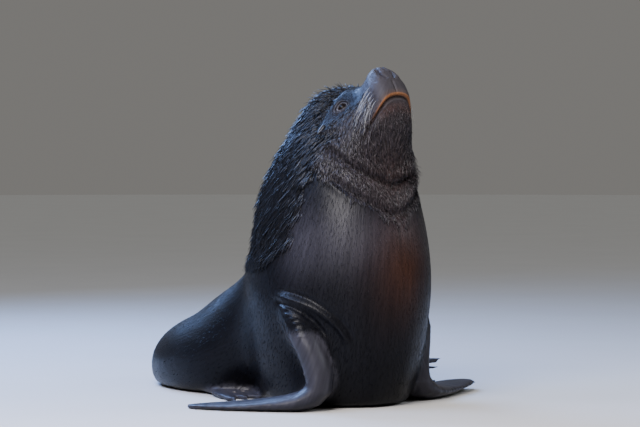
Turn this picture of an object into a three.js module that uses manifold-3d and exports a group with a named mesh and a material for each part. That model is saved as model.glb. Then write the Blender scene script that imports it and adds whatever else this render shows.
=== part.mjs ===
// A bull South American sea lion, life size, sitting up on its fore flippers with its muzzle raised.
// Millimetres, +X forward out of the chest, +Y to the animal's left, +Z up. The origin is on the floor under the belly.
//
// Flesh is described by lumps: ellipsoids that melt into one another. Rings of rays, cast outwards from a guide line
// that runs from rump to muzzle, find the surface of the whole body. The body is then parted into its named nodes by
// thin cuts. Flippers, ears and tail are lofts along curves, and each sits in a socket of its own shape.
import * as THREE from "three";
import { mergeVertices } from "three/addons/utils/BufferGeometryUtils.js";
import Module from "manifold-3d";

const wasm = await Module();
wasm.setup();

// ---------- driving dimensions ----------
const GAP = 0.4; // between nodes that meet
const BODY_MELT = 30; // how softly the body's lumps join
const HEAD_MELT = 11; // the same on the head
const NECK_MELT = 28; // and between head and neck
const RING_RAYS = 26; // rays in each ring round the body
const CAP_RINGS = 6; // rings over the rump and over the muzzle's end
const HEAD_PITCH = 50; // of the line from skull to muzzle, above level
const BETWEEN_EYES = [220, 0, 1017]; // the point midway between the eyes
const EYE_RADIUS = 21;
const EYE_PLACE = { ahead: -4, up: -5 };
const EYE_OPENING = { ahead: 37, up: 27 };
const CLAW_LENGTH = 26;

const rad = THREE.MathUtils.degToRad;
const vec = (x, y, z) => new THREE.Vector3(x, y, z);
const SIDES = [
  { name: "right", y: -1 },
  { name: "left", y: 1 },
];

// ---------- the head's own frame: ahead along the muzzle, left, and up through the crown ----------
const headFrame = new THREE.Matrix4()
  .makeRotationY(-rad(HEAD_PITCH))
  .setPosition(...BETWEEN_EYES);
const headTurn = new THREE.Quaternion().setFromRotationMatrix(headFrame);
const onHead = (ahead, left, up) => vec(ahead, left, up).applyMatrix4(headFrame);
const headAxis = vec(1, 0, 0).applyQuaternion(headTurn);

// ---------- flesh as lumps ----------
// An ellipsoid at a place, with half-sizes along, across and through, tilted nose-up by pitch and turned left by yaw.
function lump(at, size, pitch = 0, yaw = 0, base = new THREE.Quaternion()) {
  const turn = new THREE.Quaternion()
    .setFromAxisAngle(vec(0, 0, 1), rad(yaw))
    .multiply(new THREE.Quaternion().setFromAxisAngle(vec(0, 1, 0), -rad(pitch)));
  const frame = new THREE.Matrix4().makeRotationFromQuaternion(base.clone().multiply(turn));
  return { inverse: frame.setPosition(at).invert(), size: vec(...size) };
}

function lumpDistance({ inverse, size }, point) {
  const p = point.clone().applyMatrix4(inverse);
  const scaled = p.clone().divide(size).length();
  const steepness = p.divide(size).divide(size).length();
  return steepness < 1e-9 ? -Math.min(...size) : (scaled * (scaled - 1)) / steepness;
}

// The distance to many lumps melted together.
function melted(distances, softness) {
  const nearest = Math.min(...distances);
  const sum = distances.reduce((total, d) => total + Math.exp((nearest - d) / softness), 0);
  return nearest - softness * Math.log(sum);
}

const inPairs = (make) => SIDES.flatMap((side) => make(side.y));
const headLump = (ahead, left, up, size, pitch = 0, yaw = 0) =>
  lump(onHead(ahead, left, up), size, pitch, yaw, headTurn);

// The upright of the body as level slices, SLICE_STEP apart from the floor up: each slice's middle, its half-length
// front to back and its half-width.
const SLICE_STEP = 100;
const UPRIGHT = [
  { x: 90, deep: 275, wide: 230 }, // belly on the floor
  { x: 95, deep: 315, wide: 255 },
  { x: 95, deep: 338, wide: 280 },
  { x: 100, deep: 348, wide: 290 },
  { x: 104, deep: 356, wide: 297 }, // chest
  { x: 109, deep: 350, wide: 292 },
  { x: 108, deep: 336, wide: 280 },
  { x: 103, deep: 314, wide: 262 }, // shoulders and base of the neck
  { x: 114, deep: 282, wide: 235 },
  { x: 134, deep: 240, wide: 190 }, // throat and nape
  { x: 132, deep: 150, wide: 108 },
  { x: 140, deep: 20, wide: 20 }, // inside the skull
];
const UPRIGHT_TOP = 1040;

function uprightDistance(point) {
  const place = THREE.MathUtils.clamp(point.z / SLICE_STEP, 0, UPRIGHT.length - 1.001);
  const k = Math.floor(place);
  const share = place - k;
  const row = (n, key) => UPRIGHT[THREE.MathUtils.clamp(n, 0, UPRIGHT.length - 1)][key];
  const smooth = (key) => {
    const [before, here, next, after] = [k - 1, k, k + 1, k + 2].map((n) => row(n, key));
    const [leave, arrive] = [(next - before) / 2, (after - here) / 2];
    const bend = 2 * here - 2 * next + leave + arrive;
    return here + share * (leave + share * (3 * (next - here) - 2 * leave - arrive + share * bend));
  };
  const [deep, wide] = [smooth("deep"), smooth("wide")];
  const p = new THREE.Vector2((point.x - smooth("x")) / deep, point.y / wide);
  const scaled = p.length();
  const steepness = Math.hypot(p.x / deep, p.y / wide);
  const across = steepness < 1e-9 ? -wide : (scaled * (scaled - 1)) / steepness;
  return Math.max(across, point.z - UPRIGHT_TOP);
}

const BODY_LUMPS = [
  lump(vec(-578, 0, 88), [320, 250, 190], 6), // rump
  lump(vec(-345, 0, 194), [320, 250, 204], 27), // loin
  lump(vec(-190, 0, 320), [165, 200, 150], 38), // small of the back
  ...inPairs((side) => [
    lump(vec(-470, side * 160, 105), [230, 120, 130], 8, side * 8), // thigh
    lump(vec(150, side * 205, 360), [125, 84, 130], 50), // shoulder
  ]),
];

const HEAD_LUMPS = [
  lump(vec(108, 0, 968), [140, 122, 118]), // braincase and crown
  lump(vec(185, 0, 968), [118, 76, 120]), // temples and forehead
  lump(vec(290, 0, 922), [122, 112, 104]), // jaw and throat
  lump(vec(366, 0, 980), [66, 82, 70]), // chin
  headLump(88, 0, -38, [84, 50, 58]), // bridge of the nose
  headLump(105, 0, -80, [66, 50, 60]), // blunt end of the muzzle
  headLump(92, 0, -112, [60, 52, 40]), // upper lip
  headLump(147, 0, -26, [40, 44, 44], -20), // nose pad
  ...inPairs((side) => [
    headLump(112, side * 36, -104, [56, 38, 46], 8, side * -6), // whisker pad
    headLump(138, side * 26, -74, [44, 37, 42]), // flank of the nose
    headLump(2, side * 48, 18, [46, 26, 20], -20, side * 14), // ridge over the eye
    headLump(-38, side * 60, -118, [92, 54, 74], 8, side * 6), // cheek
    headLump(40, side * 38, -145, [54, 46, 54]), // jowl beside the mouth
  ]),
];

// A fold that rings the neck: a plane through a place, with the skin drawn in along it.
function fold(at, normalPitch, depth, width) {
  const normal = vec(Math.cos(rad(normalPitch)), 0, Math.sin(rad(normalPitch)));
  return { at, normal, depth, width };
}
const THROAT_FOLDS = [
  fold(onHead(-80, 0, -240), HEAD_PITCH, 9, 17),
  fold(onHead(-132, 0, -260), HEAD_PITCH, 8, 17),
];

function foldDepth(point) {
  return THROAT_FOLDS.reduce((total, { at, normal, depth, width }) => {
    const off = point.clone().sub(at).dot(normal);
    const inFront = THREE.MathUtils.smoothstep(point.x, at.x - 150, at.x - 50);
    return total + depth * inFront * Math.exp(-((off / width) ** 2));
  }, 0);
}

function bodyField(point) {
  const lumps = BODY_LUMPS.map((one) => lumpDistance(one, point));
  const trunk = melted([uprightDistance(point), ...lumps], BODY_MELT);
  const head = melted(HEAD_LUMPS.map((one) => lumpDistance(one, point)), HEAD_MELT);
  return melted([trunk, head], NECK_MELT) + foldDepth(point);
}

// ---------- solids ----------
function solid(geometry) {
  const bare = geometry.index ? geometry.clone() : geometry;
  bare.deleteAttribute("normal");
  bare.deleteAttribute("uv");
  const merged = mergeVertices(bare, 1e-3);
  return new wasm.Manifold(
    new wasm.Mesh({
      numProp: 3,
      vertProperties: new Float32Array(merged.attributes.position.array),
      triVerts: new Uint32Array(merged.index.array),
    }),
  );
}

function geometryOf(body) {
  const { vertProperties, triVerts } = body.getMesh();
  return new THREE.BufferGeometry()
    .setAttribute("position", new THREE.BufferAttribute(new Float32Array(vertProperties), 3))
    .setIndex(new THREE.BufferAttribute(new Uint32Array(triVerts), 1));
}

// Rings of points, closed by a point at each end, as one closed surface. Rings run counter-clockwise about the way on.
function closedLoft(firstTip, rings, lastTip) {
  const around = rings[0].length;
  const points = [firstTip, ...rings.flat(), lastTip];
  const last = points.length - 1;
  const index = [];
  const at = (ring, k) => 1 + ring * around + (k % around);
  for (let k = 0; k < around; k++) {
    index.push(0, at(0, k + 1), at(0, k));
    for (let ring = 0; ring + 1 < rings.length; ring++) {
      index.push(at(ring, k), at(ring, k + 1), at(ring + 1, k + 1));
      index.push(at(ring, k), at(ring + 1, k + 1), at(ring + 1, k));
    }
    index.push(last, at(rings.length - 1, k), at(rings.length - 1, k + 1));
  }
  const geometry = new THREE.BufferGeometry().setFromPoints(points);
  geometry.setIndex(index);
  return solid(geometry);
}

function halfSpace(at, normal) {
  const reach = 4000;
  const box = new THREE.BoxGeometry(reach, reach, reach);
  const turn = new THREE.Quaternion().setFromUnitVectors(vec(0, 0, 1), normal.clone().normalize());
  box.applyQuaternion(turn);
  const middle = at.clone().addScaledVector(normal.clone().normalize(), reach / 2);
  return solid(box.translate(middle.x, middle.y, middle.z));
}

const belowFloor = halfSpace(vec(0, 0, 0), vec(0, 0, -1));
const onFloor = (body) => body.subtract(belowFloor);

// Parts a body at a plane, with a gap, into what is beyond the plane and what is before it.
function part(body, at, normal) {
  const step = normal.clone().normalize().multiplyScalar(GAP / 2);
  const back = normal.clone().negate();
  return {
    beyond: body.subtract(halfSpace(at.clone().add(step), back)),
    before: body.subtract(halfSpace(at.clone().sub(step), normal)),
  };
}

// ---------- the whole body by rays from its guide line ----------
function surfaceAlong(from, way) {
  const step = 12;
  let inside = 0;
  let outside = step;
  while (bodyField(from.clone().addScaledVector(way, outside)) < 0) {
    inside = outside;
    outside += step;
  }
  for (let n = 0; n < 12; n++) {
    const middle = (inside + outside) / 2;
    if (bodyField(from.clone().addScaledVector(way, middle)) < 0) inside = middle;
    else outside = middle;
  }
  return from.clone().addScaledVector(way, outside);
}

// One ring of rays from a place. Lean is 90 for rays square to the guide line, and 0 for rays along it.
function rayRing(from, along, lean = 90) {
  const left = vec(0, 1, 0);
  const up = along.clone().cross(left).normalize();
  return Array.from({ length: RING_RAYS }, (_, k) => {
    const turn = (2 * Math.PI * k) / RING_RAYS;
    const way = left
      .clone()
      .multiplyScalar(Math.cos(turn))
      .addScaledVector(up, Math.sin(turn))
      .multiplyScalar(Math.sin(rad(lean)))
      .addScaledVector(along, Math.cos(rad(lean)));
    return surfaceAlong(from, way);
  });
}

// Places on the guide line, and how many rings follow each one.
const GUIDE = [
  { at: vec(-640, 0, 95), rings: 5 },
  { at: vec(-430, 0, 150), rings: 4 },
  { at: vec(-230, 0, 225), rings: 3 },
  { at: vec(-90, 0, 300), rings: 3 },
  { at: vec(0, 0, 390), rings: 3 },
  { at: vec(60, 0, 490), rings: 3 },
  { at: vec(98, 0, 590), rings: 3 },
  { at: vec(128, 0, 700), rings: 3 },
  { at: vec(160, 0, 800), rings: 3 },
  { at: vec(195, 0, 870), rings: 4 },
  { at: onHead(-60, 0, -72), rings: 5 },
  { at: onHead(20, 0, -72), rings: 5 },
  { at: onHead(98, 0, -72), rings: 1 },
];

function wholeBody() {
  const guide = new THREE.CatmullRomCurve3(GUIDE.map((stop) => stop.at), false, "centripetal");
  const spans = GUIDE.length - 1;
  const places = GUIDE.flatMap(({ rings }, stop) =>
    stop < spans ? Array.from({ length: rings }, (_, k) => (stop + k / rings) / spans) : [1],
  );
  const rings = places.map((t) => rayRing(guide.getPoint(t), guide.getTangent(t)));
  const cap = (t) =>
    Array.from({ length: CAP_RINGS }, (_, k) => (90 * (k + 1)) / (CAP_RINGS + 1)).map((bend) =>
      rayRing(guide.getPoint(t), guide.getTangent(t), t ? 90 - bend : 90 + bend),
    );
  const tip = (t) => surfaceAlong(guide.getPoint(t), guide.getTangent(t).multiplyScalar(t ? 1 : -1));
  return closedLoft(tip(0), [...cap(0).reverse(), ...rings, ...cap(1)], tip(1));
}

// ---------- limbs as lofts ----------
// A limb along a path of stops. Each stop has its place, its half-width across the limb and its half-thickness.
// grown adds to both, for the socket that the limb sits in.
function limb(stops, across, { steps = 24, around = 20, grown = 0 } = {}) {
  const path = new THREE.CatmullRomCurve3(stops.map((stop) => stop.at), false, "centripetal");
  const sizes = (key) => new THREE.SplineCurve(stops.map((stop, k) => new THREE.Vector2(k, stop[key])));
  const [widths, depths] = [sizes("wide"), sizes("thick")];
  const ringAt = (t) => {
    const along = path.getTangent(t);
    const through = along.clone().cross(across).normalize();
    const side = through.clone().cross(along).normalize();
    return Array.from({ length: around }, (_, k) => {
      const turn = (2 * Math.PI * k) / around;
      return path
        .getPoint(t)
        .addScaledVector(side, Math.cos(turn) * (widths.getPoint(t).y + grown))
        .addScaledVector(through, Math.sin(turn) * (depths.getPoint(t).y + grown));
    });
  };
  const rings = Array.from({ length: steps + 1 }, (_, k) => ringAt(k / steps));
  const beyond = (t, sign) =>
    path.getPoint(t).addScaledVector(path.getTangent(t), sign * (depths.getPoint(t).y * 0.7 + grown));
  return closedLoft(beyond(0, -1), rings, beyond(1, 1));
}

// The fore limb hangs from inside the chest, bends at the wrist and lies along the floor, outwards and backwards.
// Turn is how far the blade points outwards from straight back, and rise is how far its tip lifts.
const FORE_LIMBS = {
  right: { wrist: vec(322, -232, 0), turn: 38, rise: 0, length: 1.02 },
  left: { wrist: vec(268, 186, 0), turn: 62, rise: 22, length: 1.08 },
};
function foreLimb(side, grown = 0) {
  const { wrist, turn, rise, length } = FORE_LIMBS[side.name];
  const out = vec(-Math.cos(rad(turn)), side.y * Math.sin(rad(turn)), 0);
  const leadingSide = vec(Math.sin(rad(turn)), side.y * Math.cos(rad(turn)), 0);
  const stop = (along, up, wide, thick, ahead = 0) => ({
    at: wrist
      .clone()
      .setZ(up + rise * THREE.MathUtils.smoothstep(along, 120, 460))
      .addScaledVector(out, along * length)
      .addScaledVector(leadingSide, ahead),
    wide,
    thick,
  });
  const stops = [
    stop(150, 440, 60, 50, -200), // shoulder, deep in the chest
    stop(140, 385, 70, 56, -135),
    stop(118, 325, 74, 56, -72), // elbow
    stop(84, 265, 68, 51, -28),
    stop(48, 200, 62, 47, -6),
    stop(22, 130, 62, 47), // wrist
    stop(18, 78, 70, 46),
    stop(56, 40, 82, 38), // heel of the hand
    stop(130, 24, 90, 28),
    stop(230, 16, 90, 19, 2),
    stop(330, 11, 80, 13, 10),
    stop(420, 8, 60, 9.5, 22),
    stop(462, 6, 34, 7, 30), // tip, nearer the leading edge
  ];
  return limb(stops, leadingSide, { steps: 18, around: 12, grown });
}

// A hind foot is a flat webbed palm that ends in five free digits.
const HIND_FEET = {
  right: { ankle: [-480, -176, 0], turn: -1, roll: 0, length: 450 },
  left: { ankle: [-390, 262, 40], turn: 45, roll: 17, length: 520 },
};
const DIGITS = [
  { spread: -17, reach: 0.97, wide: 25 },
  { spread: -8, reach: 0.92, wide: 19 },
  { spread: 0, reach: 0.9, wide: 19 },
  { spread: 8, reach: 0.92, wide: 19 },
  { spread: 17, reach: 0.97, wide: 24 },
];

// The foot's own frame: along the middle digit, across, and up out of its back.
function footFrame(side) {
  const foot = HIND_FEET[side.name];
  const turn = new THREE.Quaternion().setFromAxisAngle(vec(0, 0, 1), rad(foot.turn));
  const roll = new THREE.Quaternion().setFromAxisAngle(vec(1, 0, 0), rad(foot.roll));
  return new THREE.Matrix4().makeRotationFromQuaternion(turn.multiply(roll)).setPosition(...foot.ankle);
}

function hindFoot(side, grown = 0) {
  const { length } = HIND_FEET[side.name];
  const frame = footFrame(side);
  const flat = (stops, spread, detail) => {
    const way = vec(Math.cos(rad(spread)), Math.sin(rad(spread)), 0);
    const places = stops.map(([share, up, wide, thick]) => ({
      at: way.clone().multiplyScalar(share * length).setZ(up).applyMatrix4(frame),
      wide,
      thick,
    }));
    return limb(places, vec(-way.y, way.x, 0).transformDirection(frame), { ...detail, grown });
  };
  const palm = flat(
    [
      [-0.16, 62, 52, 46],
      [0, 37, 58, 38],
      [0.2, 21, 62, 23],
      [0.45, 12, 82, 14],
      [0.7, 7, 104, 8],
      [0.76, 6, 96, 5],
    ],
    0,
    { steps: 5, around: 8 },
  );
  const digits = DIGITS.map(({ spread, reach, wide }) =>
    flat(
      [
        [0.45 * reach, 12, wide, 13],
        [0.72 * reach, 9, wide * 1.15, 10.5],
        [0.9 * reach, 6, wide * 0.9, 7.5],
        [reach, 4, wide * 0.4, 5],
      ],
      spread,
      { steps: 3, around: 6 },
    ),
  );
  return digits.reduce((foot, next) => foot.add(next), palm);
}

// A claw lies on the back of each of the three middle digits, well short of the tip.
function claw(side, one, grown = 0) {
  const place = 0.66 * one.reach * HIND_FEET[side.name].length;
  const shape = new THREE.SphereGeometry(1, 6, 4);
  shape.scale(CLAW_LENGTH / 2 + grown, 5 + grown, 4 + grown);
  shape.translate(place, 0, 19);
  shape.rotateZ(rad(one.spread));
  return solid(shape.applyMatrix4(footFrame(side)));
}

function tail(grown = 0) {
  const stops = [
    { at: vec(-740, 0, 74), wide: 48, thick: 36 },
    { at: vec(-830, 0, 48), wide: 40, thick: 28 },
    { at: vec(-895, 0, 30), wide: 27, thick: 19 },
    { at: vec(-950, 0, 20), wide: 11, thick: 9 },
  ];
  return limb(stops, vec(0, 1, 0), { steps: 7, around: 12, grown });
}

// The place on the skin straight out to one side of a place inside the head.
const skinBeside = (ahead, up, side) => surfaceAlong(onHead(ahead, 0, up), vec(0, side.y, 0));

// A small rolled ear, pointing back along the neck.
function ear(side, grown = 0) {
  const root = skinBeside(-62, -36, side);
  const back = headAxis.clone().negate();
  const stop = (along, out, wide, thick) => ({
    at: root.clone().addScaledVector(back, along).add(vec(0, side.y * out, 0)),
    wide,
    thick,
  });
  const stops = [
    stop(-4, -10, 8, 7),
    stop(6, 4, 9, 7),
    stop(22, 10, 7.5, 6),
    stop(36, 10, 3.5, 3.5),
  ];
  return limb(stops, vec(0, 0, 1).transformDirection(headFrame), { steps: 5, around: 8, grown });
}

function eyeBall(side, grown = 0) {
  const shape = new THREE.SphereGeometry(EYE_RADIUS + grown, 12, 8);
  const at = skinBeside(EYE_PLACE.ahead, EYE_PLACE.up, side).add(vec(0, -side.y * (EYE_RADIUS + 1.5), 0));
  return solid(shape.translate(at.x, at.y, at.z));
}

// The opening between the lids, wider than it is high.
function lidOpening(side) {
  const shape = new THREE.SphereGeometry(1, 12, 6).scale(EYE_OPENING.ahead / 2, 15, EYE_OPENING.up / 2);
  shape.rotateY(rad(12)).applyQuaternion(headTurn);
  const at = skinBeside(EYE_PLACE.ahead, EYE_PLACE.up, side);
  return solid(shape.translate(at.x, at.y, at.z));
}

// ---------- the nodes ----------
const flesh = onFloor(wholeBody());
const withSockets = [
  ...SIDES.flatMap((side) => [
    foreLimb(side, GAP),
    hindFoot(side, GAP),
    ear(side, GAP),
    eyeBall(side, GAP),
    lidOpening(side),
  ]),
  tail(GAP),
].reduce((body, socket) => body.subtract(socket), flesh);

// Everything below the line of the mouth and ahead of its corners, moved out by grown.
function jawRegion(grown) {
  const down = vec(0.28, 0, -1).transformDirection(headFrame);
  const belowMouth = halfSpace(onHead(26, 0, -174).addScaledVector(down, -grown), down);
  const aheadOfCorners = halfSpace(onHead(22, 0, -174).addScaledVector(headAxis, -grown), headAxis);
  return belowMouth.intersect(aheadOfCorners);
}

const headCut = part(withSockets, onHead(-128, 0, -120), headAxis);
const neckCut = part(headCut.before, vec(110, 0, 600), vec(0.05, 0, 1));
const trunkCut = part(neckCut.before, vec(-235, 0, 225), vec(Math.cos(rad(28)), 0, Math.sin(rad(28))));

const parts = {
  head: headCut.beyond.subtract(jawRegion(GAP / 2)),
  lower_jaw: headCut.beyond.intersect(jawRegion(-GAP / 2)),
  neck: neckCut.beyond,
  trunk: trunkCut.beyond,
  hindquarters: trunkCut.before,
  tail: onFloor(tail()),
};
for (const side of SIDES) {
  const clawed = DIGITS.slice(1, 4);
  const limbOnFloor = onFloor(foreLimb(side));
  const wristCut = part(limbOnFloor, vec(0, 0, 118), vec(0, 0, 1));
  parts[`${side.name}_forearm`] = wristCut.beyond;
  parts[`${side.name}_fore_flipper`] = wristCut.before;
  parts[`${side.name}_hind_flipper`] = clawed.reduce(
    (foot, one) => foot.subtract(claw(side, one, GAP)),
    onFloor(hindFoot(side)),
  );
  clawed.forEach((one, k) => {
    parts[`${side.name}_hind_claw_${k + 2}`] = claw(side, one);
  });
  parts[`${side.name}_ear`] = ear(side);
  parts[`${side.name}_eye`] = eyeBall(side);
}

// ---------- materials ----------
const wetCoat = new THREE.MeshStandardMaterial({ color: 0x17151a, roughness: 0.42, metalness: 0 });
const bareSkin = new THREE.MeshStandardMaterial({ color: 0x1d1d22, roughness: 0.34, metalness: 0 });
const horn = new THREE.MeshStandardMaterial({ color: 0x2b2522, roughness: 0.4, metalness: 0 });
const eyeGloss = new THREE.MeshStandardMaterial({ color: 0x140d0a, roughness: 0.08, metalness: 0 });
function finishOf(name) {
  if (name.endsWith("eye")) return eyeGloss;
  if (name.includes("claw")) return horn;
  return name.includes("flipper") || name.endsWith("ear") ? bareSkin : wetCoat;
}

const seaLion = new THREE.Group();
for (const [name, body] of Object.entries(parts)) {
  const mesh = new THREE.Mesh(geometryOf(body), finishOf(name));
  mesh.name = name;
  seaLion.add(mesh);
}

export default seaLion;
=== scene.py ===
import math
from functools import partial

import bpy
import numpy as np
from bpy.props import FloatProperty, FloatVectorProperty, IntProperty, PointerProperty
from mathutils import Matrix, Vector
from mathutils.bvhtree import BVHTree
from mathutils.kdtree import KDTree


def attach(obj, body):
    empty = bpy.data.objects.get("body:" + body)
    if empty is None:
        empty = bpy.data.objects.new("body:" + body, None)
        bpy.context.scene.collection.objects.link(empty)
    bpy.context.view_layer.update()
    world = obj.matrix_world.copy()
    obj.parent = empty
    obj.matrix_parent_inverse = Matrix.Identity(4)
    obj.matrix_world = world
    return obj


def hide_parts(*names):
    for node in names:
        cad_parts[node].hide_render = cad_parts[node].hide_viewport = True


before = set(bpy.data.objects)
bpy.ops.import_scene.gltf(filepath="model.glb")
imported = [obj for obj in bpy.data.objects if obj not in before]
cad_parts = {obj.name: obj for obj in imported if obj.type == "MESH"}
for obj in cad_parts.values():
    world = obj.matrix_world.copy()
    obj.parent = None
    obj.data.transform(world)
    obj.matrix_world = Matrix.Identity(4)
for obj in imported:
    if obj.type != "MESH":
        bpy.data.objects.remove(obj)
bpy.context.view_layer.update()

bl_info = {
    "name": "Sea lion figure",
    "version": (1, 0, 0),
    "blender": (4, 5, 0),
    "location": "3D View > Sidebar > Sea Lion",
    "description": "Skin, wet coat, eyes, ears and whiskers for a life-size bull sea lion",
    "category": "Object",
}

SIDES = {"right": -1, "left": 1}
FLIPPERS = [f"{side}_{limb}" for side in SIDES for limb in ("fore_flipper", "hind_flipper")]
FOREARMS = [f"{side}_forearm" for side in SIDES]
FLESH = ["head", "lower_jaw", "neck", "trunk", "hindquarters", "tail", *FOREARMS, *FLIPPERS]
LIMBS = FLIPPERS + FOREARMS + ["tail"]


# ---------- the head's own frame, in mm: ahead along the muzzle, left, and up through the crown ----------
HEAD_PITCH = math.radians(50)
BETWEEN_EYES = np.array((0.220, 0.0, 1.017))
AHEAD = np.array((math.cos(HEAD_PITCH), 0.0, math.sin(HEAD_PITCH)))
LEFT = np.array((0.0, 1.0, 0.0))
CROWNWARD = np.array((-math.sin(HEAD_PITCH), 0.0, math.cos(HEAD_PITCH)))
HEAD_AXES = np.array((AHEAD, LEFT, CROWNWARD))


def to_head(points):
    return (np.asarray(points) - BETWEEN_EYES) @ HEAD_AXES.T * 1000


def from_head(places):
    return BETWEEN_EYES + np.asarray(places, float) / 1000 @ HEAD_AXES


def smoothstep(value, low, high):
    share = np.clip((value - low) / (high - low), 0, 1)
    return share * share * (3 - 2 * share)


def bump(value, middle, half_width):
    """1 at the middle, falling smoothly to 0."""
    return np.exp(-(((value - middle) / half_width) ** 2))


def gap_to(head, spot, stretch=(1, 1, 1)):
    """How far each place is from a spot, measured shorter along the axes that are stretched."""
    return np.linalg.norm((head - spot) / stretch, axis=1)


def on_both_sides(head, spot, half_width, stretch=(1, 1, 1)):
    """A bump round a spot on each side of the head."""
    spots = [np.array(spot) * (1, sign, 1) for sign in SIDES.values()]
    return sum(bump(gap_to(head, place, stretch), 0, half_width) for place in spots)


def unit(vectors):
    return vectors / np.maximum(np.linalg.norm(vectors, axis=-1, keepdims=True), 1e-9)


# ---------- the guide line, from the tail to the nose, that the coat lies along ----------
BODY_STOPS = [  # ahead and up, in metres
    (-0.960, 0.030), (-0.640, 0.095), (-0.430, 0.150), (-0.230, 0.225), (-0.090, 0.300), (0.000, 0.390),
    (0.060, 0.490), (0.098, 0.590), (0.128, 0.700), (0.160, 0.800), (0.195, 0.870),
]
HEAD_STOPS = [(-60, -72), (20, -72), (98, -72), (190, -60)]  # in the head's frame
GUIDE_STOPS = np.array(
    [(x, 0, z) for x, z in BODY_STOPS] + [tuple(from_head((x, 0, z))) for x, z in HEAD_STOPS]
)
GUIDE_STEP = 0.010
GUIDE_WINDOW = 15  # how many steps the guide line is smoothed over
GUIDE_BLUR = 0.055
FLOW_RADIUS = 0.25  # the radius at which the flow's turn round the guide line is measured
FLOW_STRETCH = 0.05  # how much shorter the flow is along the line than round it
BATCH = 8192  # places handled at a time


def make_guide():
    gaps = np.linalg.norm(np.diff(GUIDE_STOPS, axis=0), axis=1)
    marks = np.concatenate(([0], np.cumsum(gaps)))
    run = np.arange(0, marks[-1], GUIDE_STEP)
    line = np.stack([np.interp(run, marks, GUIDE_STOPS[:, axis]) for axis in range(3)], axis=1)
    window = np.hanning(GUIDE_WINDOW)
    window /= window.sum()
    edge = GUIDE_WINDOW // 2
    padded = np.pad(line, ((edge, edge), (0, 0)), mode="reflect", reflect_type="odd")
    line = np.stack([np.convolve(padded[:, axis], window, "valid") for axis in range(3)], axis=1)
    return run, line, unit(np.gradient(line, axis=0))


GUIDE_RUN, GUIDE_LINE, GUIDE_WAY = make_guide()


class Lie:
    """Where places lie by the guide line: how far along it, how far round it, and the line's way there."""

    def __init__(self, points):
        points = np.asarray(points, float)
        self.run = np.empty(len(points))
        centre = np.empty((len(points), 3))
        along = np.empty((len(points), 3))
        for start in range(0, len(points), BATCH):
            part = slice(start, start + BATCH)
            gap = ((points[part, None, :] - GUIDE_LINE[None]) ** 2).sum(axis=2)
            weight = np.exp(-(gap - gap.min(axis=1, keepdims=True)) / (2 * GUIDE_BLUR**2))
            weight /= weight.sum(axis=1, keepdims=True)
            self.run[part] = weight @ GUIDE_RUN
            centre[part] = weight @ GUIDE_LINE
            along[part] = weight @ GUIDE_WAY
        self.along = unit(along)
        self.over = np.cross(self.along, LEFT)
        off = points - centre
        self.turn = np.arctan2((off * unit(self.over)).sum(axis=1), off @ LEFT)

    def flow(self):
        round_line = FLOW_RADIUS * np.cos(self.turn), FLOW_RADIUS * np.sin(self.turn)
        return np.stack((*round_line, self.run * FLOW_STRETCH), axis=1)


# ---------- meshes as arrays ----------
ATTRIBUTE_KEYS = {"FLOAT": "value", "FLOAT_VECTOR": "vector", "FLOAT_COLOR": "color"}


def read(items, key, width, kind=np.float32):
    """One property of a mesh's vertices, edges or faces, with a row for each."""
    flat = np.empty(len(items) * width, kind)
    items.foreach_get(key, flat)
    rows = flat.reshape(-1, width)
    return rows.astype(float) if kind is np.float32 else rows


def places_of(mesh):
    return read(mesh.vertices, "co", 3)


def normals_of(mesh):
    return read(mesh.vertex_normals, "vector", 3)


def edges_of(mesh):
    return read(mesh.edges, "vertices", 2, np.int32)


def middles_of(mesh):
    return read(mesh.polygons, "center", 3)


def triangles_of(mesh):
    mesh.calc_loop_triangles()
    return read(mesh.loop_triangles, "vertices", 3, np.int32)


def put_places(mesh, places):
    mesh.vertices.foreach_set("co", places.astype(np.float32).ravel())
    mesh.update()


def smooth(mesh):
    mesh.polygons.foreach_set("use_smooth", np.ones(len(mesh.polygons), bool))


def set_attribute(mesh, name, values, kind):
    layer = mesh.attributes.new(name, kind, "POINT")
    layer.data.foreach_set(ATTRIBUTE_KEYS[kind], np.asarray(values, np.float32).ravel())


def get_attribute(mesh, name, width):
    layer = mesh.attributes[name]
    return read(layer.data, ATTRIBUTE_KEYS[layer.data_type], width)


def neighbours_mean(rows, edges):
    """The mean of the values at each vertex's neighbours."""
    count = np.bincount(edges.ravel(), minlength=len(rows)).astype(float)
    total = np.empty_like(rows)
    for k, column in enumerate(rows.T):
        total[:, k] = np.bincount(edges[:, 0], column[edges[:, 1]], len(column))
        total[:, k] += np.bincount(edges[:, 1], column[edges[:, 0]], len(column))
    return total / np.maximum(count, 1)[:, None]


def spread(values, mesh, rounds):
    """Evens out a value over the mesh by moving each towards its neighbours' mean."""
    rows, edges = values[:, None], edges_of(mesh)
    for _ in range(rounds):
        rows = (rows + neighbours_mean(rows, edges)) / 2
    return rows[:, 0]


def relax(mesh, rounds, share, keep=0.0):
    """Smooths the mesh: share is how much of it each vertex takes, and keep undoes part of the shrinking."""
    edges, places = edges_of(mesh), places_of(mesh)
    share = np.broadcast_to(share, len(places))[:, None]
    for _ in range(rounds):
        for amount in (0.5, -0.5 * keep) if keep else (0.5,):
            places = places + share * amount * (neighbours_mean(places, edges) - places)
    put_places(mesh, places)


def deselect_all():
    if bpy.context.object and bpy.context.object.mode != "OBJECT":
        bpy.ops.object.mode_set(mode="OBJECT")
    bpy.ops.object.select_all(action="DESELECT")


def choose(*objects):
    deselect_all()
    for one in objects:
        one.select_set(True)
    bpy.context.view_layer.objects.active = objects[-1]


def apply_modifier(piece, kind, **settings):
    choose(piece)
    modifier = piece.modifiers.new(kind.lower(), kind)
    for key, value in settings.items():
        setattr(modifier, key, value)
    bpy.ops.object.modifier_apply(modifier=modifier.name)


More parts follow.
